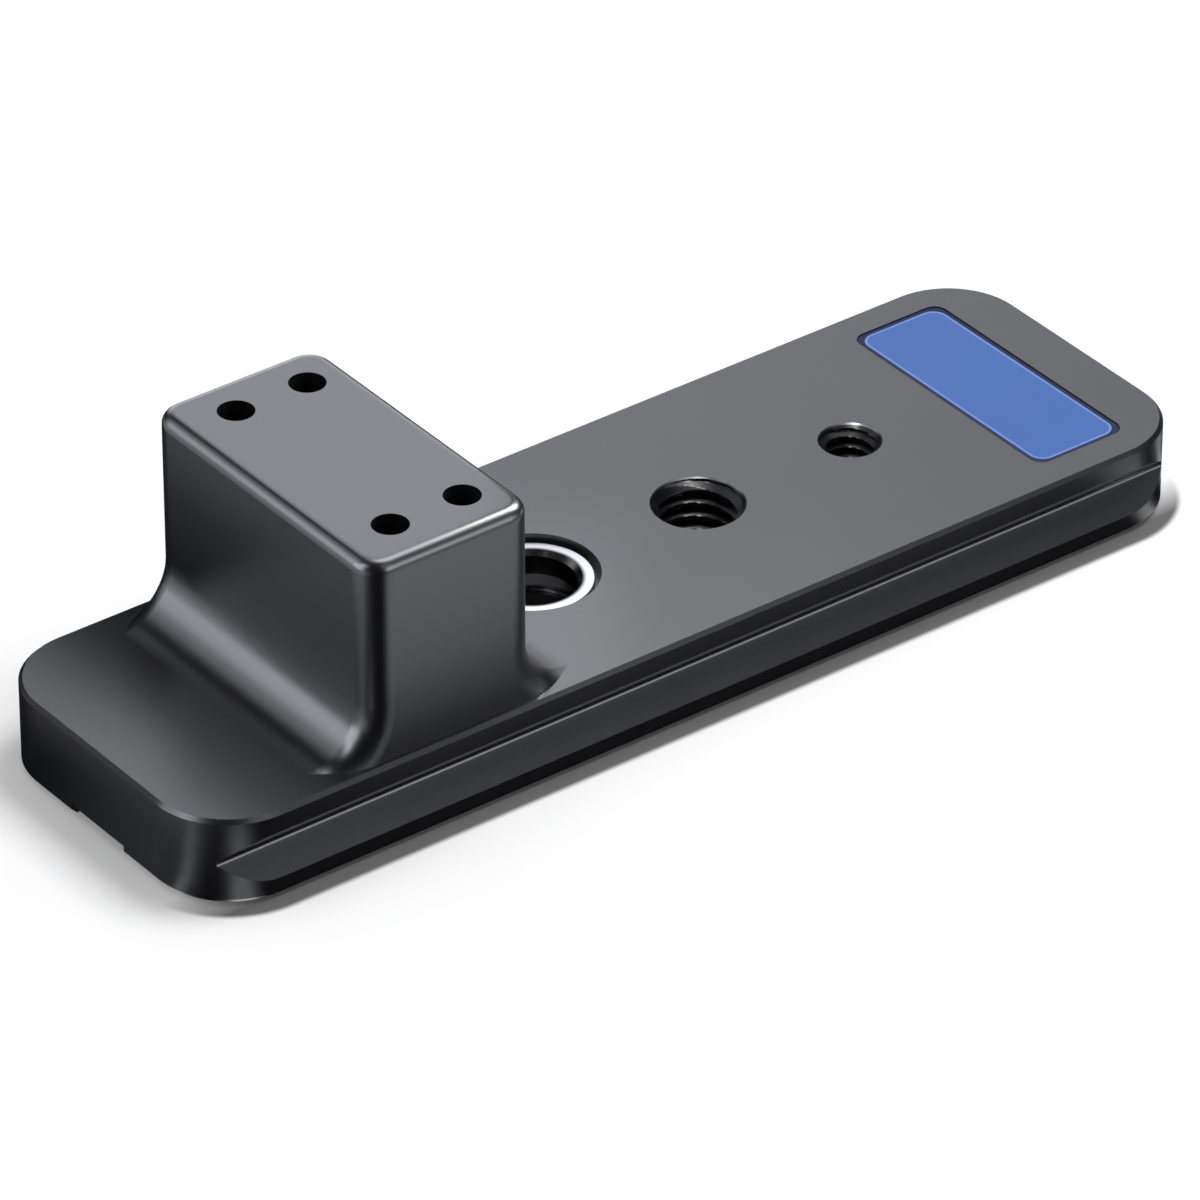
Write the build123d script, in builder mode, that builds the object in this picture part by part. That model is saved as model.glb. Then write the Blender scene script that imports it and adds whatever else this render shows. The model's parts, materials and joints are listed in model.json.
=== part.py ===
from build123d import *
import os

# Foot for a telephoto lens collar: a long dovetail plate with a block that bolts under
# the collar. Millimetres. The origin is on the underside, in the middle of the plate.
# X runs along the plate to its badge end, Y across it and Z up.

# Plate
plate_length = 123.0
plate_width = 38.0
plate_thickness = 9.8
plate_corner_radius = 8.5
top_edge_chamfer = 0.4
bottom_edge_chamfer = 0.7

# Dovetail groove along both long sides
upper_lip_height = 2.3
groove_height = 5.3
groove_root_radius = 0.5

# Riser block that carries the lens collar
riser_from_end = 19.9
riser_length = 19.8
riser_width = 36.4
riser_height = 22.5
riser_corner_radius = 2.8
riser_top_radius = 1.35
sweep_radius = 5.8
sweep_root_cover = 0.4

# Screw holes through the riser, sunk for their heads from the underside
collar_hole_radius = 1.9
collar_hole_spacing_x = 8.54
collar_hole_spacing_y = 25.52
collar_hole_offset = 0.8
collar_head_radius = 2.9
collar_screw_grip = 6.0

# Underside channel and the stop screws in it
channel_width = 9.0
channel_depth = 1.3
stop_screw_from_end = 5.5
stop_head_radius = 3.6
stop_head_height = 1.2
stop_shank_radius = 1.5
stop_shank_length = 5.0
stop_key_width = 2.0
stop_key_depth = 0.8
stop_edge_chamfer = 0.2
screw_clearance = 0.03

# Tripod threads, drawn at the size of their screws
large_thread_from_end = 73.5
large_thread_radius = 4.76
small_thread_from_end = 92.95
small_thread_radius = 3.175
thread_mouth_chamfer = 0.14

# Sling socket bush and its stepped seat
socket_from_end = 52.6
socket_recess_radius = 7.0
socket_recess_depth = 1.5
bush_face_depth = 0.63
bush_outer_radius = 6.35
bush_bore_radius = 4.6
bush_shelf_height = 1.3
bush_shelf_hole_radius = 4.8
bush_rim_chamfer = 0.1
bush_mouth_chamfer = 0.5
bush_clearance = 0.03
lock_groove_depth = 0.8
lock_groove_width = 2.4
lock_groove_below_face = 2.6

# Badge and its recess
badge_from_end = 105.2
badge_length = 11.4
badge_width = 30.6
badge_corner_radius = 1.5
badge_recess_depth = 0.8
badge_thickness = 0.7
badge_clearance = 0.1

# Places worked out from the sizes above
end_x = -plate_length / 2
side_y = plate_width / 2
top_z = plate_thickness
riser_top_z = top_z + riser_height
riser_near_x = end_x + riser_from_end
riser_far_x = riser_near_x + riser_length
near_sweep_x = riser_near_x - sweep_radius
far_sweep_x = riser_far_x + sweep_radius
sweep_centre_z = top_z + sweep_radius
sweep_root_z = top_z - riser_corner_radius - sweep_root_cover
collar_holes_x = riser_near_x + riser_length / 2 + collar_hole_offset
collar_head_depth = riser_top_z - collar_screw_grip
groove_top_z = top_z - upper_lip_height
groove_middle_z = groove_top_z - groove_height / 2
groove_bottom_z = groove_top_z - groove_height
stop_screws_x = plate_length / 2 - stop_screw_from_end
socket_x = end_x + socket_from_end
bush_seat_z = channel_depth + bush_shelf_height
bush_face_z = top_z - bush_face_depth
bush_height = bush_face_z - bush_seat_z
badge_x = end_x + badge_from_end + badge_length / 2
badge_floor_z = top_z - badge_recess_depth

# Riser block, with the sweeps that run it out onto the plate on both sides.
# Its rounded corners follow the sweeps and sink into the plate at their ends.
with BuildPart() as riser:
    with BuildSketch(Plane.XZ):
        with BuildLine():
            Line((near_sweep_x, sweep_root_z), (near_sweep_x, top_z))
            near_centre = (near_sweep_x, sweep_centre_z)
            CenterArc(near_centre, sweep_radius, start_angle=270, arc_size=90)
            Line((riser_near_x, sweep_centre_z), (riser_near_x, riser_top_z))
            Line((riser_near_x, riser_top_z), (riser_far_x, riser_top_z))
            Line((riser_far_x, riser_top_z), (riser_far_x, sweep_centre_z))
            far_centre = (far_sweep_x, sweep_centre_z)
            CenterArc(far_centre, sweep_radius, start_angle=180, arc_size=90)
            Line((far_sweep_x, top_z), (far_sweep_x, sweep_root_z))
            Line((far_sweep_x, sweep_root_z), (near_sweep_x, sweep_root_z))
        make_face()
    extrude(amount=riser_width / 2, both=True)
    uprights = riser.edges().filter_by(Axis.Z).filter_by(lambda edge: edge.center().Z > top_z)
    sweeps = riser.edges().filter_by(GeomType.CIRCLE)
    fillet(uprights + sweeps, riser_corner_radius)
    fillet(riser.faces().sort_by(Axis.Z)[-1].edges(), riser_top_radius)

# Machined foot: plate, riser, dovetail grooves, channel, holes and recesses in one piece
with BuildPart() as foot_body:
    with BuildSketch(Plane.XY):
        RectangleRounded(plate_length, plate_width, plate_corner_radius)
    extrude(amount=plate_thickness)
    chamfer(foot_body.faces().sort_by(Axis.Z)[-1].edges(), top_edge_chamfer)
    chamfer(foot_body.faces().sort_by(Axis.Z)[0].edges(), bottom_edge_chamfer)
    add(riser.part)

    # Dovetail grooves with 45 degree flanks, cut along X through the rounded corners
    with BuildSketch(Plane.YZ):
        with BuildLine() as groove_outline:
            Polyline(
                (side_y, groove_top_z),
                (side_y - groove_height / 2, groove_middle_z),
                (side_y, groove_bottom_z),
                close=True,
            )
            fillet(groove_outline.vertices().sort_by(Axis.X)[0], groove_root_radius)
        make_face()
        mirror(about=Plane.YZ)
    extrude(amount=plate_length / 2, both=True, mode=Mode.SUBTRACT)

    # Channel along the underside
    with BuildSketch(Plane.XY):
        Rectangle(plate_length, channel_width)
    extrude(amount=channel_depth, mode=Mode.SUBTRACT)

    # Collar screw holes
    with Locations(Plane(origin=(collar_holes_x, 0, 0), z_dir=(0, 0, -1))):
        with GridLocations(collar_hole_spacing_x, collar_hole_spacing_y, 2, 2):
            CounterBoreHole(collar_hole_radius, collar_head_radius, collar_head_depth)

    # Tripod threads, with a small chamfer at each mouth
    for from_end, thread_radius in (
        (large_thread_from_end, large_thread_radius),
        (small_thread_from_end, small_thread_radius),
    ):
        mouth_radius = thread_radius + thread_mouth_chamfer
        with Locations((end_x + from_end, 0, top_z)):
            CounterSinkHole(thread_radius, mouth_radius, counter_sink_angle=90)

    # Stepped seat for the bush, with a wider hole through the shelf below it
    with Locations((socket_x, 0, top_z)):
        CounterBoreHole(bush_shelf_hole_radius, socket_recess_radius, socket_recess_depth)
        Hole(bush_outer_radius + bush_clearance, depth=top_z - bush_seat_z)

    # Badge recess
    with BuildSketch(Plane.XY.offset(badge_floor_z)):
        with Locations((badge_x, 0)):
            RectangleRounded(badge_length, badge_width, badge_corner_radius)
    extrude(amount=badge_recess_depth, mode=Mode.SUBTRACT)

    # Blind holes for the stop screws
    with Locations(Plane(origin=(0, 0, channel_depth), z_dir=(0, 0, -1))):
        with GridLocations(2 * stop_screws_x, 0, 2, 1):
            Hole(stop_shank_radius + screw_clearance, depth=stop_shank_length + screw_clearance)
foot_body.part.label = "foot_body"

# Steel bush of the sling socket, with the ring groove that the lock balls spring into
with BuildPart() as sling_socket:
    with BuildSketch(Plane.XY.offset(bush_seat_z)):
        with Locations((socket_x, 0)):
            Circle(bush_outer_radius)
            Circle(bush_bore_radius, mode=Mode.SUBTRACT)
    extrude(amount=bush_height)
    mouth = sling_socket.edges().group_by(Axis.Z)[-1].sort_by(SortBy.RADIUS)[0]
    chamfer(mouth, bush_mouth_chamfer)
    rim = sling_socket.edges().group_by(Axis.Z)[-1].sort_by(SortBy.RADIUS)[-1]
    chamfer(rim, bush_rim_chamfer)
    with BuildSketch(Plane.XY.offset(bush_face_z - lock_groove_below_face)):
        with Locations((socket_x, 0)):
            Circle(bush_bore_radius + lock_groove_depth)
    extrude(amount=-lock_groove_width, mode=Mode.SUBTRACT)
sling_socket.part.label = "sling_socket"

# Badge plate set into its recess
with BuildPart() as badge:
    with BuildSketch(Plane.XY.offset(badge_floor_z)):
        with Locations((badge_x, 0)):
            RectangleRounded(
                badge_length - 2 * badge_clearance,
                badge_width - 2 * badge_clearance,
                badge_corner_radius - badge_clearance,
            )
    extrude(amount=badge_thickness)
badge.part.label = "badge"

os.makedirs("parts", exist_ok=True)
export_step(foot_body.part, "parts/foot_body.step")
export_step(sling_socket.part, "parts/sling_socket.step")
export_step(badge.part, "parts/badge.step")

# Stop screws, one near each end: a low round head in the channel, with its key socket
# facing down, and a shank up into the plate
for name, screw_x in (("stop_screw_near", -stop_screws_x), ("stop_screw_far", stop_screws_x)):
    with BuildPart() as stop_screw:
        head_bottom_z = channel_depth - stop_head_height
        with BuildSketch(Plane.XY.offset(head_bottom_z)):
            with Locations((screw_x, 0)):
                Circle(stop_head_radius)
        extrude(amount=stop_head_height)
        chamfer(stop_screw.edges().group_by(Axis.Z)[0], stop_edge_chamfer)
        with BuildSketch(Plane.XY.offset(channel_depth)):
            with Locations((screw_x, 0)):
                Circle(stop_shank_radius)
        extrude(amount=stop_shank_length)
        with BuildSketch(Plane.XY.offset(head_bottom_z)):
            with Locations((screw_x, 0)):
                RegularPolygon(stop_key_width / 2, 6, major_radius=False)
        extrude(amount=stop_key_depth, mode=Mode.SUBTRACT)
    stop_screw.part.label = name
    export_step(stop_screw.part, f"parts/{name}.step")
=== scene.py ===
"""Looks for a lens collar foot: a black anodised dovetail plate with a riser block, two
tripod threads, a steel sling socket, a blue badge and two stop screws."""

import json
import math

import bpy
import numpy as np
from bpy.props import FloatProperty, FloatVectorProperty, IntProperty, PointerProperty
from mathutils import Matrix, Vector


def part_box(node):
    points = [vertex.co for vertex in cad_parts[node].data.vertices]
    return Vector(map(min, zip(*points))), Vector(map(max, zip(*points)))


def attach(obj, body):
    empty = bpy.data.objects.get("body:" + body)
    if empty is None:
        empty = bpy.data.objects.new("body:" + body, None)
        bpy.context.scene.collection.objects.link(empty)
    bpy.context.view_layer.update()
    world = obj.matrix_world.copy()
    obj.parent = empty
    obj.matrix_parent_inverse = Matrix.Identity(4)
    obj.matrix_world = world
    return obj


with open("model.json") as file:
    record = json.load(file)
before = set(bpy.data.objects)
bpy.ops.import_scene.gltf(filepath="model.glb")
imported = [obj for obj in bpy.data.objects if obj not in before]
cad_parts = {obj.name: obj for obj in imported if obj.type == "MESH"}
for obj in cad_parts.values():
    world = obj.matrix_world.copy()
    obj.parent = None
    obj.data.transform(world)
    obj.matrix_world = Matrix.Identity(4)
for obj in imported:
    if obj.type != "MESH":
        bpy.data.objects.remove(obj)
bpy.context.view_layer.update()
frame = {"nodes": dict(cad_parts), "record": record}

bl_info = {
    "name": "Lens Collar Foot",
    "version": (1, 0, 0),
    "blender": (4, 5, 0),
    "location": "View3D > Sidebar > Lens Foot",
    "description": "Finishes and stage for a lens collar foot",
    "category": "Object",
}

MM = 0.001
WHITE = (1.0, 1.0, 1.0)

# Places on the foot. X runs along the plate to the badge's end, and the camera's side is -Y.
FOOT_LOW, FOOT_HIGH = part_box("foot_body")
SOCKET_LOW, SOCKET_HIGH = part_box("sling_socket")
BADGE_LOW, BADGE_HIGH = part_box("badge")
SOCKET_AXIS = (SOCKET_LOW + SOCKET_HIGH) / 2
MOUNTS = {mount["name"]: mount for mount in frame["record"]["mounts"]}
RISER_TOP = Vector(MOUNTS["riser_top"]["pos_m"])
RISER_EDGE = Vector((-39.0, 14.0, 0)) * MM
PLATE_CORNER = 8.5 * MM
PLATE_TOP = 9.8 * MM

# The socket's steel face starts at this radius, and the painted shade on the bore inside it takes
# this much to give way to the steel's full colour.
SOCKET_FACE = 5.15 * MM
SOCKET_FACE_BLEND = 0.35 * MM

# The badge's pale line ends at this many widths of the dark one, and both have soft edges.
BADGE_PALE_WIDTHS = 1.6
BADGE_LINE_BLEND = 0.08 * MM

# Heights of the threads' ends, and widths of their crests and roots in pitches.
THREAD_LOW, THREAD_HIGH = 1.32 * MM, 9.66 * MM
THREAD_CREST, THREAD_ROOT = 1 / 4, 1 / 8

# Soft patches of the studio that the satin faces reflect. Each has the bearing of its middle
# from the foot's near end towards the camera's side, its height, its reach and its strength.
STUDIO_PATCHES = (
    ("wall behind the far side", -139.0, 38.0, 34.0, 0.91),
    ("strip low behind the riser", -114.0, 16.0, 22.0, 2.65),
    ("card high behind", -131.0, 64.0, 22.0, 2.40),
    ("strip on the far horizon", -122.0, 0.0, 22.0, 2.60),
    ("window at the near end", -17.0, 14.0, 30.0, 6.0),
    ("lamp over the near end", -8.0, 40.0, 16.0, 6.0),
    ("strip behind the near end", -46.0, 15.0, 22.0, 2.8),
    ("card low at the camera side", 121.0, 5.0, 34.0, 2.2),
    ("card behind the near end", -54.0, 36.0, 22.0, 1.8),
    ("strip over the badge end", -164.0, 75.0, 22.0, 5.5),
    ("strip at the camera side", 108.0, 15.0, 22.0, 3.8),
    ("strip past the badge end", 176.0, 59.0, 22.0, 4.15),
    ("card high at the camera side", 104.0, 46.0, 22.0, 1.3),
)
STUDIO_COLOUR = (0.985, 1.0, 1.075)

# The painted glow of the table that only glossy rays see, which the foot's faces mirror as a
# painted reflection, by distance from the foot in millimetres: at its near end, at the camera's
# side, and past the near end on the far side. Its low levels close to the foot are painted shade.
# Close to the foot it goes by the turn round a corner instead, from 0 at the end to 1 at the side.
TABLE_AT_END = ((1, 0.0), (11, 0.05), (14, 0.45), (20, 0.75), (30, 1.3), (45, 1.9), (100, 1.9),
                (1000, 1.6))
TABLE_AT_SIDE = ((1, 0.0), (13, 0.05), (18, 0.45), (24, 1.1), (40, 1.4), (75, 1.2), (150, 0.4),
                 (1000, 0.1))
TABLE_BEHIND = ((1, 0.0), (5, 0.0), (8, 0.08), (12, 0.6), (20, 1.1), (100, 1.2), (1000, 0.8))
TABLE_ROUND_CORNER = ((0.0, 0.12), (0.07, 0.2), (0.14, 0.9), (0.25, 0.2), (0.42, 0.0),
                      (0.55, 0.15), (0.7, 1.2), (0.84, 0.3), (0.93, 0.0), (1.0, 0.0))
TABLE_DECADES = 3.0
TABLE_BRIGHTEST = 2.0

# Where the painted table glow's tones give way to each other, as places where a share is 0 and 1:
# the side's along X, the one round the corners by the distance from the foot, and those of the
# camera's side along Y. The power says how fast the end's and side's fall off round a corner.
TABLE_SIDE_FADE = (-44.0 * MM, -30.0 * MM)
TABLE_CORNER_FADE = (17.0 * MM, 11.0 * MM)
TABLE_CAMERA_FADE = (12.0 * MM, -6.0 * MM)
TABLE_CORNER_POWER = 8.0

# The same for the painted contact shadow: by the distance from the plate's outline, and along Y.
CONTACT_FADE = (2.4 * MM, 1.5 * MM)
CONTACT_SIDE_FADE = (-13.0 * MM, -18.5 * MM)

# Cards and flags close to the foot.
RISER_CARD_BEARING = (-127.0, 33.4)
THREAD_CARD_OFFSET = Vector((-10.0, -13.0, 60.0)) * MM
THREAD_CARD_SIZE = 9.0 * MM
THREAD_FLAG_CENTRE = Vector((-6.0, -10.0, 55.0)) * MM
THREAD_FLAG_WIDTH, THREAD_FLAG_HEIGHT = 30.0 * MM, 36.0 * MM
EDGE_CARD_CENTRE = Vector((FOOT_LOW.x - 2.0 * MM, 6.5 * MM, 11.2 * MM))
EDGE_CARD_WIDTH, EDGE_CARD_HEIGHT = 31.0 * MM, 2.4 * MM

SENSOR_WIDTH = 36.0
CLIP_NEAR, CLIP_FAR = 0.05, 20.0


class FootFinish(bpy.types.PropertyGroup):
    """Colours and surface values of the foot's pieces"""

    anodise_colour: FloatVectorProperty(
        name="Anodise Colour", description="Black dye of the anodised metal", subtype="COLOR",
        size=3, min=0.0, max=1.0, default=(0.0030, 0.0031, 0.0038))
    anodise_roughness: FloatProperty(
        name="Anodise Roughness", description="How far the satin skin blurs what it reflects",
        min=0.0, max=1.0, default=0.30)
    anodise_ior: FloatProperty(
        name="Anodise IOR", description="Refractive index of the sealed oxide", min=1.0, max=3.0,
        default=1.70)
    thread_gloss: FloatProperty(
        name="Thread Gloss", description="Gloss of the cut threads, where 0.5 is plain",
        min=0.0, max=1.0, default=0.08)
    steel_colour: FloatVectorProperty(
        name="Steel Colour", description="Bare stainless steel", subtype="COLOR",
        size=3, min=0.0, max=1.0, default=(0.52, 0.52, 0.53))
    steel_roughness: FloatProperty(
        name="Steel Roughness", description="Blur of the turned steel", min=0.0, max=1.0,
        default=0.22)
    # Painted shade in the socket's bore: the bore's colour as a share of the steel's.
    bore_painted_shade: FloatProperty(
        name="Bore Brightness", description="The socket's bore as a share of the steel's colour",
        min=0.0, max=1.0, default=0.10)
    badge_colour: FloatVectorProperty(
        name="Badge Colour", description="Blue enamel of the badge", subtype="COLOR",
        size=3, min=0.0, max=1.0, default=(0.020, 0.090, 0.33))
    badge_rim_colour: FloatVectorProperty(
        name="Badge Rim Colour", description="Dark line round the badge", subtype="COLOR",
        size=3, min=0.0, max=1.0, default=(0.003, 0.006, 0.030))
    badge_line_colour: FloatVectorProperty(
        name="Badge Line Colour", description="Pale line inside the dark one", subtype="COLOR",
        size=3, min=0.0, max=1.0, default=(0.11, 0.21, 0.56))
    badge_rim_width: FloatProperty(
        name="Badge Rim Width", description="Width of the dark line round the badge",
        unit="LENGTH", default=0.42 * MM)
    badge_rim_roughness: FloatProperty(
        name="Badge Rim Roughness", description="Blur of the dark line round the badge",
        min=0.0, max=1.0, default=0.85)
    badge_corner: FloatProperty(
        name="Badge Corner", description="Radius of the corners of the dark line",
        unit="LENGTH", default=2.1 * MM)


class FootThreads(bpy.types.PropertyGroup):
    """Sizes of the two tripod threads"""

    large_pitch: FloatProperty(
        name="Large Pitch", description="Rise of one turn of the large thread", unit="LENGTH",
        default=25.4 / 16 * MM)
    small_pitch: FloatProperty(
        name="Small Pitch", description="Rise of one turn of the small thread", unit="LENGTH",
        default=25.4 / 20 * MM)
    depth_share: FloatProperty(
        name="Depth Share", description="Thread depth as a share of its pitch", default=0.541)
    wall: FloatProperty(
        name="Wall", description="Gap between the thread's back and the hole", unit="LENGTH",
        default=0.004 * MM)
    steps_round: IntProperty(
        name="Steps Round", description="Grid steps round the hole", default=96)
    steps_per_turn: IntProperty(
        name="Steps per Turn", description="Grid steps along the hole for each turn", default=16)


class FootStage(bpy.types.PropertyGroup):
    """Camera, light and floor"""

    azimuth: FloatProperty(
        name="Azimuth", description="Camera's turn about the vertical", subtype="ANGLE",
        default=math.radians(-37.14))
    elevation: FloatProperty(
        name="Elevation", description="Camera's height above the floor", subtype="ANGLE",
        default=math.radians(33.42))
    distance: FloatProperty(
        name="Distance", description="Camera's distance from the foot's origin",
        unit="LENGTH", default=931.32 * MM)
    move_right: FloatProperty(
        name="Move Right", description="Camera's step to its right, for framing",
        unit="LENGTH", default=-0.29 * MM)
    move_up: FloatProperty(
        name="Move Up", description="Camera's step upwards, for framing", unit="LENGTH",
        default=2.42 * MM)
    lens: FloatProperty(
        name="Lens", description="Focal length on a 36 mm sensor, in millimetres",
        default=278.53)
    floor_radius: FloatProperty(
        name="Floor Radius", description="Half the width of the floor", unit="LENGTH", default=4.0)
    floor_colour: FloatVectorProperty(
        name="Floor Colour", description="White paper under the foot", subtype="COLOR",
        size=3, min=0.0, max=1.0, default=(0.93, 0.93, 0.94))
    floor_white: FloatProperty(
        name="Floor White", description="Share of plain white in the paper as the camera sees it",
        min=0.0, max=1.0, default=0.15)
    # Depth of a painted shadow on the floor along the camera side, which no lamp casts.
    painted_contact_shadow: FloatProperty(
        name="Contact Shade", description="Depth of the close shadow along the camera side",
        min=0.0, max=1.0, default=0.84)
    fill_strength: FloatProperty(
        name="Fill Strength", description="Even light from all round", default=0.57)
    key_strength: FloatProperty(
        name="Key Strength", description="Brightness of the softbox overhead", default=10.0)
    key_azimuth: FloatProperty(
        name="Key Azimuth", description="Side from which the softbox leans", subtype="ANGLE",
        default=math.radians(76.0))
    key_elevation: FloatProperty(
        name="Key Elevation", description="Height of the softbox above the floor",
        subtype="ANGLE", default=math.radians(66.0))
    key_distance: FloatProperty(
        name="Key Distance", description="Distance of the softbox", unit="LENGTH", default=0.60)
    key_size: FloatProperty(
        name="Key Size", description="Width of the softbox", unit="LENGTH", default=0.30)
    card_strength: FloatProperty(
        name="Card Strength", description="Brightness of the card mirrored in the riser's top",
        default=2.3)
    card_distance: FloatProperty(
        name="Card Distance", description="Distance of that card from the riser's top",
        unit="LENGTH", default=0.06)
    card_size: FloatProperty(
        name="Card Size", description="Width of that card", unit="LENGTH", default=0.055)
    thread_card_strength: FloatProperty(
        name="Thread Card Strength", description="Brightness of the card over each thread",
        default=200.0)
    edge_card_strength: FloatProperty(
        name="Edge Card Strength", description="Brightness of the dim card at the near end's edge",
        default=0.35)
    flag_height: FloatProperty(
        name="Flag Height", description="Height of the black flag above the plate",
        unit="LENGTH", default=19.5 * MM)
    flag_width: FloatProperty(
        name="Flag Width", description="Width of the black flag beside the riser",
        unit="LENGTH", default=0.10)


# Meshes

def grid_mesh(name, points, wrap_u=False, wrap_v=False):
    """A quad mesh through a grid of points, shape (u, v, 3). Corner (i, j) joins (i + 1, j),
    (i + 1, j + 1) and (i, j + 1), with the index taken round again where a side wraps."""
    count_u, count_v = points.shape[:2]
    u = np.arange(count_u if wrap_u else count_u - 1)
    v = np.arange(count_v if wrap_v else count_v - 1)
    i, j = np.meshgrid(u, v, indexing="ij")
    next_i, next_j = (i + 1) % count_u, (j + 1) % count_v
    corners = [i * count_v + j, next_i * count_v + j,
               next_i * count_v + next_j, i * count_v + next_j]
    faces = np.stack(corners, axis=-1).reshape(-1, 4)
    mesh = bpy.data.meshes.new(name)
    mesh.from_pydata(points.reshape(-1, 3).tolist(), [], faces.tolist())
    mesh.update()
    return mesh


def add_piece(name, mesh, material):
    """Puts a finished mesh into the scene as a piece that rides on the foot."""
    piece = bpy.data.objects.new(name, mesh)
    bpy.context.scene.collection.objects.link(piece)
    mesh.materials.append(material)
    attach(piece, "root")


def add_stage(name, mesh, material):
    """Puts a mesh into the scene as part of the stage."""
    prop = bpy.data.objects.new(name, mesh)
    bpy.context.scene.collection.objects.link(prop)
    mesh.materials.append(material)
    return prop


def quad_mesh(name, centre, side, rise):
    """A flat quad: centre plus or minus half of the side and rise vectors."""
    signs = np.array([[(-1, -1), (-1, 1)], [(1, -1), (1, 1)]], float)
    half = np.array([side, rise]) / 2
    return grid_mesh(name, np.array(centre) + signs @ half)


def thread_sleeve(name, mount, pitch, threads):
    """The turns of an inside thread as a closed sleeve, with the flanks at 60 degrees to each
    other. With t the height in turns less the angle in turns, and c = |2 * frac(t) - 1|, the
    inner radius is the back's, less the depth times (1 - root - c) / (1 - root - crest) held
    between 0 and 1. It never reaches inside a 45 degree cone at either mouth. The back is a
    plain cylinder just inside the hole's wall."""
    depth = pitch * threads.depth_share
    back = mount["dims"]["r_mm"] * MM - threads.wall
    turns = (THREAD_HIGH - THREAD_LOW) / pitch
    rows = int(round(turns * threads.steps_per_turn)) + 1
    angle = np.linspace(0.0, 2 * math.pi, threads.steps_round, endpoint=False)
    height = np.linspace(THREAD_LOW, THREAD_HIGH, rows)
    angle_grid, height_grid = np.meshgrid(angle, height, indexing="ij")
    phase = (height_grid - THREAD_LOW) / pitch - angle_grid / (2 * math.pi)
    from_crest = np.abs(2 * (phase - np.floor(phase)) - 1)
    ridge = np.clip((1 - THREAD_ROOT - from_crest) / (1 - THREAD_ROOT - THREAD_CREST), 0.0, 1.0)
    from_mouth = np.minimum(height_grid - THREAD_LOW, THREAD_HIGH - height_grid)
    radius = np.maximum(back - depth * ridge, back - from_mouth)
    inner, outer = [
        np.stack([reach * np.cos(angle_grid), reach * np.sin(angle_grid), height_grid], -1)
        for reach in (radius, back)]
    section = np.concatenate([inner, outer[:, -2:0:-1]], axis=1)
    section[..., 0] += mount["pos_m"][0]
    return grid_mesh(name, section, wrap_u=True, wrap_v=True)


# Node helpers

def set_inputs(tree, node, inputs):
    """Sets a node's inputs by name or number. A value that is a socket is linked."""
    for name, value in inputs.items():
        if isinstance(value, bpy.types.NodeSocket):
            tree.links.new(value, node.inputs[name])
        else:
            node.inputs[name].default_value = value


def add_node(tree, kind, inputs=None, **attributes):
    """A node with its attributes and inputs set."""
    node = tree.nodes.new(kind)
    for name, value in attributes.items():
        setattr(node, name, value)
    set_inputs(tree, node, inputs or {})
    return node


def maths(tree, operation, *values, clamp=False):
    """Socket with the result of a Math node on numbers or sockets."""
    return add_node(tree, "ShaderNodeMath", dict(enumerate(values)), operation=operation,
                    use_clamp=clamp).outputs[0]


def map_range(tree, value, start, end, **attributes):
    """Socket that goes from 0 to 1 as a value goes from start to end, and holds beyond them."""
    return add_node(tree, "ShaderNodeMapRange", {
        "Value": value, "From Min": start, "From Max": end}, **attributes).outputs["Result"]


def mix_colours(tree, factor, first, second):
    """Socket with a mix of two colours, each a socket or three numbers. Inputs 6 and 7 and
    output 2 are a Mix node's sockets for colours."""
    first, second = [value if isinstance(value, bpy.types.NodeSocket) else (*value, 1.0)
                     for value in (first, second)]
    return add_node(tree, "ShaderNodeMix", {0: factor, 6: first, 7: second},
                    data_type="RGBA").outputs[2]


def mix_shaders(tree, factor, first, second):
    """Socket with a mix of two shaders."""
    return add_node(tree, "ShaderNodeMixShader", {0: factor, 1: first, 2: second}).outputs[0]


def add_glow(tree, strength, colour=WHITE):
    """Socket with an even light."""
    return add_node(tree, "ShaderNodeEmission", {
        "Color": (*colour, 1.0), "Strength": strength}).outputs["Emission"]


def object_point(tree):
    """Socket with the place on the piece, in metres."""
    return add_node(tree, "ShaderNodeTexCoord").outputs["Object"]


def object_axes(tree):
    """Sockets X, Y and Z with the place on the piece, in metres."""
    return add_node(tree, "ShaderNodeSeparateXYZ", {0: object_point(tree)}).outputs


def round_rectangle(tree, place, low, high, corner):
    """Sockets about a rectangle with round corners, from two of its corners and their radius:
    how far a place is past the middles of the corner circles along X and Y, the length of both,
    and the distance from the outline, which is below 0 inside."""
    centre, half = (low + high) / 2, (high - low) / 2
    offsets = []
    for axis, middle, reach in (("X", centre.x, half.x), ("Y", centre.y, half.y)):
        away = maths(tree, "ABSOLUTE", maths(tree, "SUBTRACT", place[axis], middle))
        offsets.append(maths(tree, "SUBTRACT", away, reach - corner))
    past = [maths(tree, "MAXIMUM", offset, 0.0) for offset in offsets]
    both = add_node(tree, "ShaderNodeCombineXYZ", {"X": past[0], "Y": past[1]}).outputs[0]
    length = add_node(tree, "ShaderNodeVectorMath", {0: both}, operation="LENGTH").outputs["Value"]
    inside = maths(tree, "MINIMUM", maths(tree, "MAXIMUM", *offsets), 0.0)
    return past, length, maths(tree, "SUBTRACT", maths(tree, "ADD", length, inside), corner)


def new_group(name, inputs, outputs):
    """An empty node group with its sockets: the group, and its input and output nodes."""
    group = bpy.data.node_groups.new(name, "ShaderNodeTree")
    for side, sockets in (("INPUT", inputs), ("OUTPUT", outputs)):
        for label, kind in sockets.items():
            group.interface.new_socket(label, in_out=side, socket_type=f"NodeSocket{kind}")
    return group, add_node(group, "NodeGroupInput"), add_node(group, "NodeGroupOutput")


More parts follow.
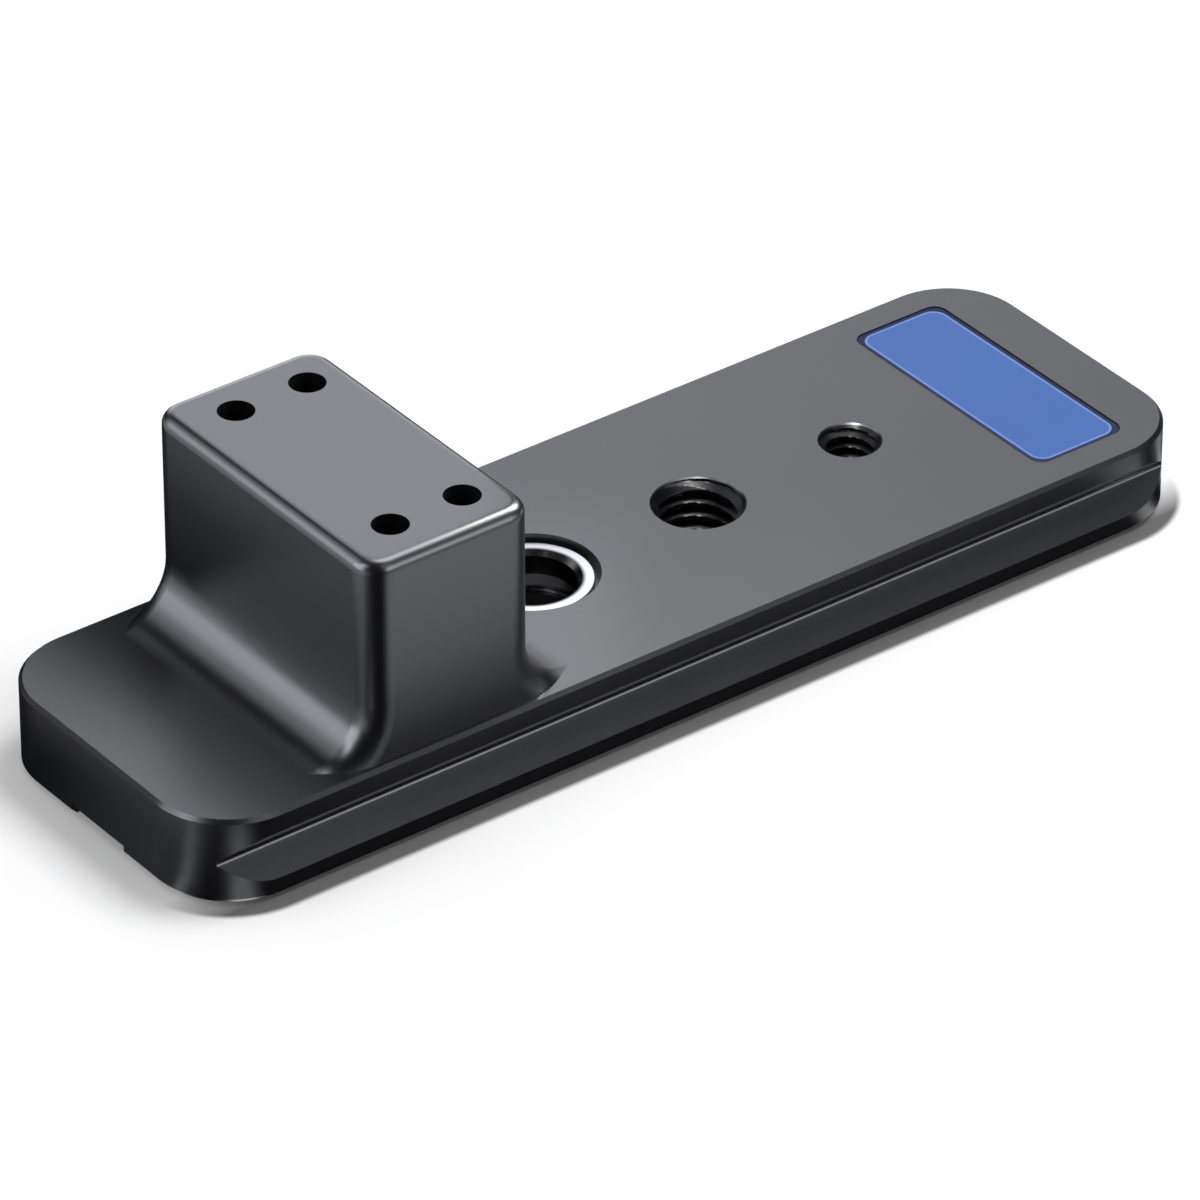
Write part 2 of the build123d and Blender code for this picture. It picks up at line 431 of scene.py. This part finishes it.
def satin_grain_group():
    """Node group: the fine even grain of a blasted and anodised or turned surface. It gives a
    normal, a roughness about a base value, and a slow mottle from 0 to 1."""
    name = "satin grain"
    if name in bpy.data.node_groups:
        return bpy.data.node_groups[name]
    group, given, result = new_group(
        name, {"Vector": "Vector", "Grain Size": "Float", "Bump": "Float", "Roughness": "Float",
               "Spread": "Float"},
        {"Normal": "Vector", "Roughness": "Float", "Mottle": "Float"})
    scale = maths(group, "DIVIDE", 1.0, given.outputs["Grain Size"])
    grain = add_node(group, "ShaderNodeTexNoise", {
        "Vector": given.outputs["Vector"], "Scale": scale, "Detail": 2.0, "Roughness": 0.6})
    mottle = add_node(group, "ShaderNodeTexNoise", {
        "Vector": given.outputs["Vector"], "Scale": 90.0, "Detail": 3.0, "Roughness": 0.55})
    bump = add_node(group, "ShaderNodeBump", {
        "Strength": given.outputs["Bump"], "Distance": 0.01 * MM,
        "Height": grain.outputs["Fac"]})
    centred = maths(group, "SUBTRACT", mottle.outputs["Fac"], 0.5)
    shift = maths(group, "MULTIPLY", centred, given.outputs["Spread"])
    set_inputs(group, result, {
        "Normal": bump.outputs["Normal"], "Mottle": mottle.outputs["Fac"],
        "Roughness": maths(group, "ADD", given.outputs["Roughness"], shift)})
    return group


def add_grain(tree, *, size, roughness, spread, bump=0.0):
    """Sockets of the satin grain group in a material, fed with Object coordinates."""
    return add_node(tree, "ShaderNodeGroup", {
        "Vector": object_point(tree), "Grain Size": size, "Bump": bump, "Roughness": roughness,
        "Spread": spread}, node_tree=satin_grain_group()).outputs


def mottled(tree, grain, colour, *, low, high):
    """Socket with a colour that the grain's mottle takes from low to high times itself."""
    colour = np.array(colour)
    return mix_colours(tree, grain["Mottle"], tuple(colour * low), tuple(colour * high))


# Materials

def empty_material(name):
    """A material with nothing but an output: the material, its tree and its surface socket."""
    material = bpy.data.materials.new(name)
    material.use_nodes = True
    tree = material.node_tree
    tree.nodes.clear()
    return material, tree, add_node(tree, "ShaderNodeOutputMaterial").inputs["Surface"]


def principled_material(name):
    """A material with a Principled shader: the material, its tree and the shader."""
    material, tree, surface = empty_material(name)
    shader = add_node(tree, "ShaderNodeBsdfPrincipled")
    tree.links.new(shader.outputs["BSDF"], surface)
    return material, tree, shader


def anodised_black(name="anodised black", gloss=0.5):
    """Black anodised aluminium: a dark satin skin with a fine blasted grain. A gloss of 0.5
    mirrors as its refractive index says, and less is duller."""
    finish = bpy.context.scene.foot_finish
    material, tree, shader = principled_material(name)
    grain = add_grain(tree, size=0.10 * MM, roughness=finish.anodise_roughness, spread=0.04,
                      bump=0.06)
    set_inputs(tree, shader, {
        "Base Color": mottled(tree, grain, finish.anodise_colour, low=0.88, high=1.12),
        "Roughness": grain["Roughness"], "Normal": grain["Normal"],
        "IOR": finish.anodise_ior, "Specular IOR Level": gloss})
    return material


def turned_steel(name, face=None):
    """Turned stainless steel. Where the radius at which the socket's face starts is given, the
    bore and its mouth within it get a darker copy of the steel's colour, painted shade in the
    recess."""
    finish = bpy.context.scene.foot_finish
    material, tree, shader = principled_material(name)
    grain = add_grain(tree, size=0.16 * MM, roughness=finish.steel_roughness, spread=0.08,
                      bump=0.12)
    colour = mottled(tree, grain, finish.steel_colour, low=0.94, high=1.05)
    if face is not None:
        place = object_axes(tree)
        across = [maths(tree, "SUBTRACT", place[axis], centre)
                  for axis, centre in (("X", SOCKET_AXIS.x), ("Y", SOCKET_AXIS.y))]
        from_axis = maths(tree, "SQRT", maths(tree, "ADD", *[
            maths(tree, "MULTIPLY", value, value) for value in across]))
        # Painted shade: inside the face's radius the bore gets this darker copy of the steel's
        # colour.
        dull = tuple(np.array(finish.steel_colour) * finish.bore_painted_shade)
        colour = mix_colours(
            tree, map_range(tree, from_axis, face, face + SOCKET_FACE_BLEND), dull, colour)
    set_inputs(tree, shader, {
        "Metallic": 1.0, "Base Color": colour, "Roughness": grain["Roughness"],
        "Normal": grain["Normal"]})
    return material


def badge_enamel():
    """Blue enamel with a dull dark line round its edge and a pale line inside that. Both go by
    the distance from the badge's outline."""
    finish = bpy.context.scene.foot_finish
    material, tree, shader = principled_material("badge enamel")
    grain = add_grain(tree, size=0.2 * MM, roughness=0.30, spread=0.05, bump=0.04)
    edge = round_rectangle(
        tree, object_axes(tree), BADGE_LOW, BADGE_HIGH, finish.badge_corner)[2]
    line, pale = [
        map_range(tree, edge, -finish.badge_rim_width * widths - BADGE_LINE_BLEND,
                  -finish.badge_rim_width * widths)
        for widths in (1.0, BADGE_PALE_WIDTHS)]
    colour = mottled(tree, grain, finish.badge_colour, low=0.9, high=1.1)
    colour = mix_colours(tree, pale, colour, tuple(finish.badge_line_colour))
    colour = mix_colours(tree, line, colour, tuple(finish.badge_rim_colour))
    rough = add_node(tree, "ShaderNodeMix", {
        "Factor": line, "A": grain["Roughness"], "B": finish.badge_rim_roughness})
    set_inputs(tree, shader, {
        "Base Color": colour, "Roughness": rough.outputs["Result"], "Normal": grain["Normal"],
        "Specular IOR Level": 0.35})
    return material


def table_place(tree, distance):
    """Socket with a distance's place in a table of levels: 0 at 1 mm and 1 at its last."""
    decades = maths(tree, "LOGARITHM", maths(tree, "DIVIDE", distance, MM), 10.0)
    return maths(tree, "DIVIDE", decades, TABLE_DECADES, clamp=True)


def level_curve(tree, value, levels):
    """Socket with a level read from a table of (place, level) pairs, place from 0 to 1."""
    curve = add_node(tree, "ShaderNodeFloatCurve", {"Value": value})
    points = curve.mapping.curves[0].points
    while len(points) < len(levels):
        points.new(0.5, 0.5)
    for point, (place, level) in zip(points, levels):
        point.location = (place, level / TABLE_BRIGHTEST)
        point.handle_type = "AUTO_CLAMPED"
    curve.mapping.update()
    return maths(tree, "MULTIPLY", curve.outputs["Value"], TABLE_BRIGHTEST)


def painted_table_glow(tree):
    """Socket with a painted glow of the table, which the foot's faces mirror as a painted
    reflection. It follows the distance from the plate's outline, and near the foot the angle round
    each corner: painted shade where the foot would shade the table, then brighter."""
    place = object_axes(tree)
    past, length, distance = round_rectangle(tree, place, FOOT_LOW, FOOT_HIGH, PLATE_CORNER)
    past_end = maths(tree, "MAXIMUM", maths(tree, "SUBTRACT", FOOT_LOW.x, place["X"]), MM)
    from_foot, from_end = table_place(tree, distance), table_place(tree, past_end)
    at_end, at_side, behind = [
        level_curve(tree, value, [(math.log10(reach) / TABLE_DECADES, level)
                                  for reach, level in levels])
        for value, levels in ((from_foot, TABLE_AT_END), (from_foot, TABLE_AT_SIDE),
                              (from_end, TABLE_BEHIND))]
    at_side = maths(tree, "MULTIPLY", at_side, map_range(tree, place["X"], *TABLE_SIDE_FADE))
    shares = [
        maths(tree, "MULTIPLY", level, maths(
            tree, "POWER", maths(tree, "DIVIDE", reach, length), TABLE_CORNER_POWER))
        for level, reach in ((at_end, past[0]), (at_side, past[1]))]
    turn = maths(tree, "DIVIDE", maths(tree, "ARCTAN2", past[1], past[0]), math.pi / 2)
    round_corner = maths(tree, "MULTIPLY", level_curve(tree, turn, TABLE_ROUND_CORNER),
                         map_range(tree, distance, *TABLE_CORNER_FADE))
    return add_node(tree, "ShaderNodeMix", {
        "Factor": map_range(tree, place["Y"], *TABLE_CAMERA_FADE), "A": behind,
        "B": maths(tree, "ADD", maths(tree, "ADD", *shares), round_corner)}).outputs["Result"]


def painted_contact_shadow(tree, strength):
    """Socket with a painted shadow along the foot's camera side, which no lamp casts: full up to
    1.5 mm from the plate, gone at 2.4 mm, and faded out round the corners."""
    place = object_axes(tree)
    distance = round_rectangle(tree, place, FOOT_LOW, FOOT_HIGH, PLATE_CORNER)[2]
    close = map_range(tree, distance, *CONTACT_FADE, interpolation_type="SMOOTHSTEP")
    share = maths(tree, "MULTIPLY", close, map_range(tree, place["Y"], *CONTACT_SIDE_FADE))
    return maths(tree, "MULTIPLY", share, strength)


def floor_paper():
    """White paper: plain diffuse, with a faint mottle. The camera sees a share of plain white in
    it and a painted shadow along the foot's camera side, and glossy rays see a painted glow of the
    table."""
    stage = bpy.context.scene.foot_stage
    material, tree, surface = empty_material("floor paper")
    grain = add_grain(tree, size=1.0 * MM, roughness=0.9, spread=0.05)
    paper = add_node(tree, "ShaderNodeBsdfPrincipled", {
        "Base Color": mottled(tree, grain, stage.floor_colour, low=0.99, high=1.0),
        "Roughness": grain["Roughness"], "Specular IOR Level": 0.0}).outputs["BSDF"]
    light_path = add_node(tree, "ShaderNodeLightPath").outputs
    white_share = maths(tree, "MULTIPLY", light_path["Is Camera Ray"], stage.floor_white)
    paper = mix_shaders(tree, white_share, paper, add_glow(tree, 1.0))
    # Painted reflection: glossy rays see the painted table glow, dark near the foot, in place of
    # the paper.
    paper = mix_shaders(tree, light_path["Is Glossy Ray"], paper,
                        add_glow(tree, painted_table_glow(tree), STUDIO_COLOUR))
    # Painted shadow: for camera rays the paper is mixed towards black close to the foot's camera
    # side.
    shade = maths(tree, "MULTIPLY", light_path["Is Camera Ray"],
                  painted_contact_shadow(tree, stage.painted_contact_shadow))
    tree.links.new(mix_shaders(tree, shade, paper, add_glow(tree, 0.0)), surface)
    material.cycles.emission_sampling = "NONE"
    return material


def glowing_cloth(name, strength, colour=WHITE):
    """Cloth of a softbox, a card or a flag: an even glow, or black without one."""
    material, tree, surface = empty_material(name)
    tree.links.new(add_glow(tree, strength, colour), surface)
    return material


# Light and camera

def direction_of(azimuth, elevation):
    """Unit vector towards a camera or lamp at an azimuth and elevation."""
    flat = math.cos(elevation)
    return Vector((math.sin(azimuth) * flat, -math.cos(azimuth) * flat, math.sin(elevation)))


def bearing(angle, height):
    """Unit vector at an angle from the foot's near end (-X) towards its camera side (-Y)."""
    turn, rise = math.radians(angle), math.radians(height)
    flat = math.cos(rise)
    return Vector((-math.cos(turn) * flat, -math.sin(turn) * flat, math.sin(rise)))


def studio_patch_group():
    """Node group: a soft round patch of light. It is 1 in its middle and falls smoothly to 0 at
    its reach, with the view direction and the patch's middle as unit vectors."""
    name = "studio patch"
    if name in bpy.data.node_groups:
        return bpy.data.node_groups[name]
    group, given, result = new_group(
        name, {"Direction": "Vector", "Middle": "Vector", "Reach Cosine": "Float",
               "Brightness": "Float"}, {"Light": "Float"})
    dot = add_node(group, "ShaderNodeVectorMath", {
        0: given.outputs["Direction"], 1: given.outputs["Middle"]}, operation="DOT_PRODUCT")
    soft = map_range(group, dot.outputs["Value"], given.outputs["Reach Cosine"], 1.0,
                     interpolation_type="SMOOTHERSTEP")
    set_inputs(group, result, {
        "Light": maths(group, "MULTIPLY", soft, given.outputs["Brightness"])})
    return group


def build_world(stage):
    """World: white to the camera, an even fill for matt surfaces, and soft patches of studio
    light for what the satin faces reflect."""
    world = bpy.data.worlds.new("studio")
    bpy.context.scene.world = world
    world.use_nodes = True
    world.cycles.sampling_method = "NONE"
    tree = world.node_tree
    tree.nodes.clear()
    direction = add_node(tree, "ShaderNodeTexCoord").outputs["Generated"]
    total = 0.0
    for label, angle, height, reach, brightness in STUDIO_PATCHES:
        patch = add_node(tree, "ShaderNodeGroup", {
            "Direction": direction, "Middle": bearing(angle, height),
            "Reach Cosine": math.cos(math.radians(reach)), "Brightness": brightness},
            node_tree=studio_patch_group(), label=label)
        total = maths(tree, "ADD", total, patch.outputs["Light"])
    fill, studio, white = [
        add_node(tree, "ShaderNodeBackground", {
            "Color": (*colour, 1.0), "Strength": strength}).outputs["Background"]
        for colour, strength in (
            (WHITE, stage.fill_strength), (STUDIO_COLOUR, total), (WHITE, 1.0))]
    light_path = add_node(tree, "ShaderNodeLightPath").outputs
    glossy = mix_shaders(tree, light_path["Is Glossy Ray"], fill, studio)
    add_node(tree, "ShaderNodeOutputWorld", {
        "Surface": mix_shaders(tree, light_path["Is Camera Ray"], glossy, white)})


def facing_card(name, target, towards, distance, size, cloth):
    """A square card that faces a target from a distance."""
    side = towards.cross(Vector((0, 0, 1))).normalized()
    return add_stage(name, quad_mesh(
        name, target + towards * distance, side * size, towards.cross(side) * size), cloth)


def upright_card(name, centre, width, height, cloth):
    """An upright card across the foot."""
    return add_stage(name, quad_mesh(name, centre, (0, width, 0), (0, 0, height)), cloth)


def build_lights(stage):
    """A softbox overhead for the matt surfaces, and cards and black flags close to the foot that
    only glossy rays see."""
    softbox = facing_card(
        "softbox", Vector((0, 0, 0)), direction_of(stage.key_azimuth, stage.key_elevation),
        stage.key_distance, stage.key_size, glowing_cloth("softbox cloth", stage.key_strength))
    softbox.visible_camera = False
    softbox.visible_glossy = False
    cards = [facing_card(
        "riser_card", RISER_TOP, bearing(*RISER_CARD_BEARING), stage.card_distance,
        stage.card_size, glowing_cloth("riser card", stage.card_strength, STUDIO_COLOUR))]
    thread_cloth = glowing_cloth("thread card", stage.thread_card_strength)
    for name in ("large_thread", "small_thread"):
        cards.append(add_stage(f"{name}_card", quad_mesh(
            f"{name}_card", Vector(MOUNTS[name]["pos_m"]) + THREAD_CARD_OFFSET,
            (THREAD_CARD_SIZE, 0, 0), (0, THREAD_CARD_SIZE, 0)), thread_cloth))
    black = glowing_cloth("black flag", 0.0)
    tongue_flag_centre = (RISER_EDGE.x, RISER_EDGE.y + stage.flag_width / 2,
                          PLATE_TOP + stage.flag_height / 2)
    cards += [
        upright_card("tongue_flag", tongue_flag_centre, stage.flag_width, stage.flag_height,
                     black),
        upright_card("edge_card", EDGE_CARD_CENTRE, EDGE_CARD_WIDTH, EDGE_CARD_HEIGHT,
                     glowing_cloth("edge card", stage.edge_card_strength)),
        upright_card("thread_flag", THREAD_FLAG_CENTRE, THREAD_FLAG_WIDTH, THREAD_FLAG_HEIGHT,
                     black),
    ]
    for card in cards:
        for kind in ("camera", "diffuse", "shadow"):
            setattr(card, f"visible_{kind}", False)


def build_camera(stage):
    """The camera at the photograph's viewing angle, with a step aside for the framing."""
    back = direction_of(stage.azimuth, stage.elevation)
    turn = (-back).to_track_quat("-Z", "Y")
    camera = bpy.data.objects.new("camera", bpy.data.cameras.new("camera"))
    bpy.context.scene.collection.objects.link(camera)
    camera.rotation_mode = "QUATERNION"
    camera.rotation_quaternion = turn
    camera.location = (back * stage.distance + turn @ Vector((1, 0, 0)) * stage.move_right
                       + turn @ Vector((0, 1, 0)) * stage.move_up)
    camera.data.lens = stage.lens
    camera.data.sensor_width = SENSOR_WIDTH
    camera.data.clip_start = CLIP_NEAR
    camera.data.clip_end = CLIP_FAR
    bpy.context.scene.camera = camera


# Operators

class FOOT_OT_finish_body(bpy.types.Operator):
    """Give the machined foot its black anodised skin"""

    bl_idname = "foot.finish_body"
    bl_label = "Finish Foot Body"

    def execute(self, context):
        frame["nodes"]["foot_body"].data.materials[0] = anodised_black()
        return {"FINISHED"}


class FOOT_OT_cut_threads(bpy.types.Operator):
    """Cut the turns of the two tripod threads"""

    bl_idname = "foot.cut_threads"
    bl_label = "Cut Tripod Threads"

    def execute(self, context):
        finish, threads = context.scene.foot_finish, context.scene.foot_threads
        skin = anodised_black("cut thread black", finish.thread_gloss)
        for mount_name, pitch in (("large_thread", threads.large_pitch),
                                  ("small_thread", threads.small_pitch)):
            name = f"{mount_name}_turns"
            mesh = thread_sleeve(name, MOUNTS[mount_name], pitch, threads)
            add_piece(name, mesh, skin)
        return {"FINISHED"}


class FOOT_OT_finish_socket(bpy.types.Operator):
    """Give the sling socket its turned steel face and a bore with painted shade"""

    bl_idname = "foot.finish_socket"
    bl_label = "Finish Sling Socket"

    def execute(self, context):
        steel = turned_steel("socket steel", SOCKET_FACE)
        frame["nodes"]["sling_socket"].data.materials[0] = steel
        return {"FINISHED"}


class FOOT_OT_finish_badge(bpy.types.Operator):
    """Give the badge its blue enamel"""

    bl_idname = "foot.finish_badge"
    bl_label = "Finish Badge"

    def execute(self, context):
        frame["nodes"]["badge"].data.materials[0] = badge_enamel()
        return {"FINISHED"}


class FOOT_OT_finish_screws(bpy.types.Operator):
    """Give the two stop screws their bright steel"""

    bl_idname = "foot.finish_screws"
    bl_label = "Finish Stop Screws"

    def execute(self, context):
        steel = turned_steel("screw steel")
        for name in ("stop_screw_near", "stop_screw_far"):
            frame["nodes"][name].data.materials[0] = steel
        return {"FINISHED"}


class FOOT_OT_build_stage(bpy.types.Operator):
    """Set up the floor, the light and the camera"""

    bl_idname = "foot.build_stage"
    bl_label = "Build Stage"

    def execute(self, context):
        stage = context.scene.foot_stage
        width = 2 * stage.floor_radius
        add_stage("floor", quad_mesh("floor", (0, 0, 0), (width, 0, 0), (0, width, 0)),
                  floor_paper())
        build_world(stage)
        build_lights(stage)
        build_camera(stage)
        context.scene.view_settings.view_transform = "Standard"
        return {"FINISHED"}


OPERATORS = (
    FOOT_OT_finish_body, FOOT_OT_cut_threads, FOOT_OT_finish_socket, FOOT_OT_finish_badge,
    FOOT_OT_finish_screws, FOOT_OT_build_stage,
)


class FOOT_PT_panel(bpy.types.Panel):
    """Lists the steps that dress the foot"""

    bl_idname = "FOOT_PT_panel"
    bl_label = "Lens Foot"
    bl_space_type = "VIEW_3D"
    bl_region_type = "UI"
    bl_category = "Lens Foot"

    def draw(self, context):
        for operator in OPERATORS:
            self.layout.operator(operator.bl_idname)


GROUPS = (FootFinish, FootThreads, FootStage)


def register():
    for item in (*GROUPS, *OPERATORS, FOOT_PT_panel):
        bpy.utils.register_class(item)
    bpy.types.Scene.foot_finish = PointerProperty(type=FootFinish)
    bpy.types.Scene.foot_threads = PointerProperty(type=FootThreads)
    bpy.types.Scene.foot_stage = PointerProperty(type=FootStage)


def unregister():
    for name in ("foot_finish", "foot_threads", "foot_stage"):
        delattr(bpy.types.Scene, name)
    for item in (FOOT_PT_panel, *reversed(OPERATORS), *reversed(GROUPS)):
        bpy.utils.unregister_class(item)


def main():
    register()
    bpy.ops.foot.finish_body()
    bpy.ops.foot.cut_threads()
    bpy.ops.foot.finish_socket()
    bpy.ops.foot.finish_badge()
    bpy.ops.foot.finish_screws()
    bpy.ops.foot.build_stage()


if __name__ == "__main__":
    main()
